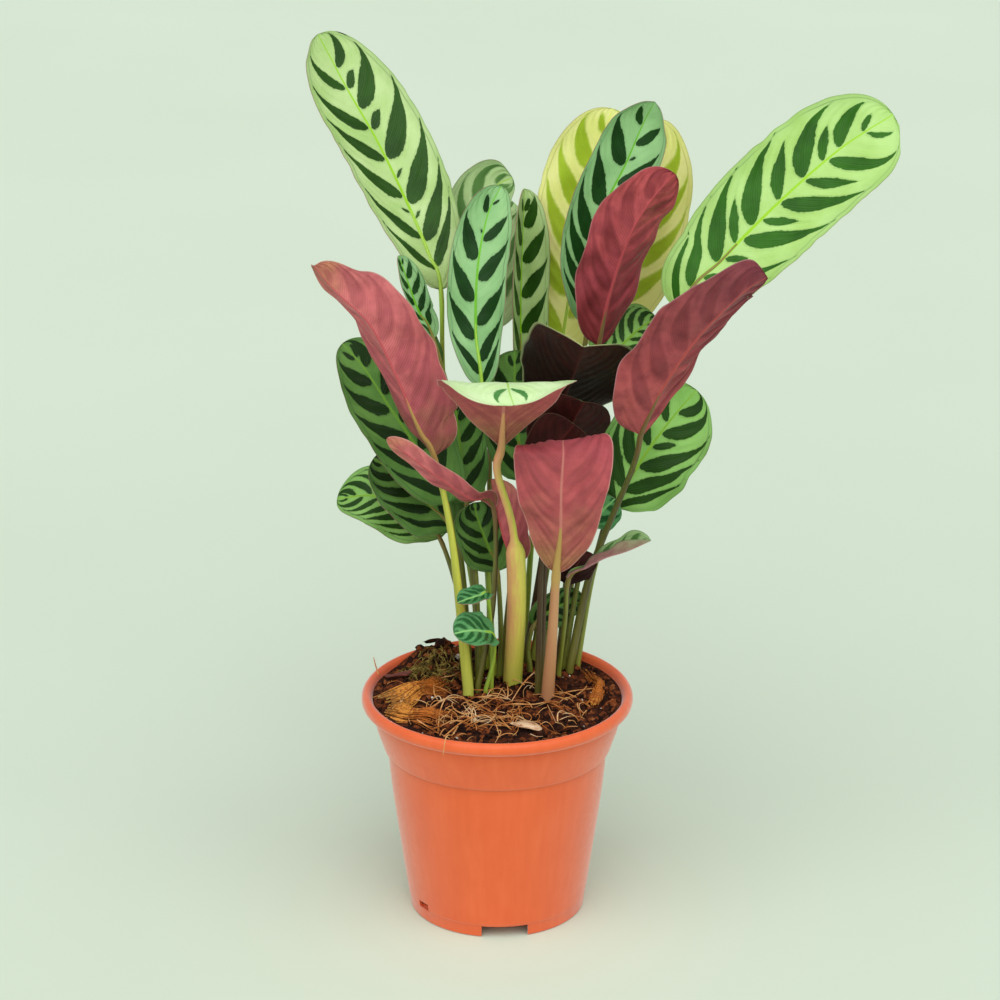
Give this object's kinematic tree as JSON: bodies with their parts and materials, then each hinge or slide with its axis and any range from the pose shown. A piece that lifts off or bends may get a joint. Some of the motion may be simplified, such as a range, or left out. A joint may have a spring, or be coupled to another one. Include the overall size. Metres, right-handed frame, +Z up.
{
  "type": "potted ctenanthe",
  "caption": "Ctenanthe house plant with striped oblong leaves on upright stalks, in a round tapered nursery pot with soil.",
  "frame": {"origin": "on the floor under the middle of the whole plant's box; the pot's axis is 54 mm to the left and 25 mm to the front of it", "axes": "+Z up; -Y towards the viewer of the picture, +X to the viewer's right"},
  "size_m": [0.3074, 0.2303, 0.4335],
  "materials": {
    "terracotta_plastic": "satin",
    "peat": "matte",
    "bark": "matte",
    "coir": "matte",
    "leaf_green": "satin",
    "leaf_yellow": "satin",
    "leaf_rose": "satin",
    "leaf_dark": "satin"
  },
  "bodies": {
    "root": {"bark_chip": "bark", "bark_flake": "bark", "coir_strand_right": "coir", "coir_tuft_back": "coir", "coir_tuft_front": "coir", "leaf_behind_curled": "leaf_green", "leaf_broad_right": "leaf_green", "leaf_brown_edge": "leaf_dark", "leaf_bud_small": "leaf_green", "leaf_centre_mint": "leaf_green", "leaf_dark_centre": "leaf_dark", "leaf_folded_narrow": "leaf_green", "leaf_folded_small": "leaf_green", "leaf_green_shaded": "leaf_green", "leaf_hidden_left": "leaf_green", "leaf_long_left": "leaf_green", "leaf_low_left": "leaf_green", "leaf_magenta_rolled": "leaf_rose", "leaf_maroon_behind": "leaf_dark", "leaf_nodding_front": "leaf_green", "leaf_olive_inner": "leaf_green", "leaf_olive_shaded": "leaf_green", "leaf_oval_small": "leaf_green", "leaf_pink_front": "leaf_rose", "leaf_pink_left": "leaf_rose", "leaf_pointed_left": "leaf_green", "leaf_purple_small": "leaf_dark", "leaf_rolled_young": "leaf_green", "leaf_rose_right": "leaf_rose", "leaf_rose_upright": "leaf_rose", "leaf_round_small": "leaf_green", "leaf_striped_low": "leaf_green", "leaf_tiny_right": "leaf_green", "leaf_top_left": "leaf_green", "leaf_top_right": "leaf_green", "leaf_twisted_pink": "leaf_rose", "leaf_upright_mint": "leaf_green", "leaf_yellow_left": "leaf_yellow", "leaf_yellow_right": "leaf_yellow", "pot": "terracotta_plastic", "soil": "peat"}
  },
  "joints": []
}
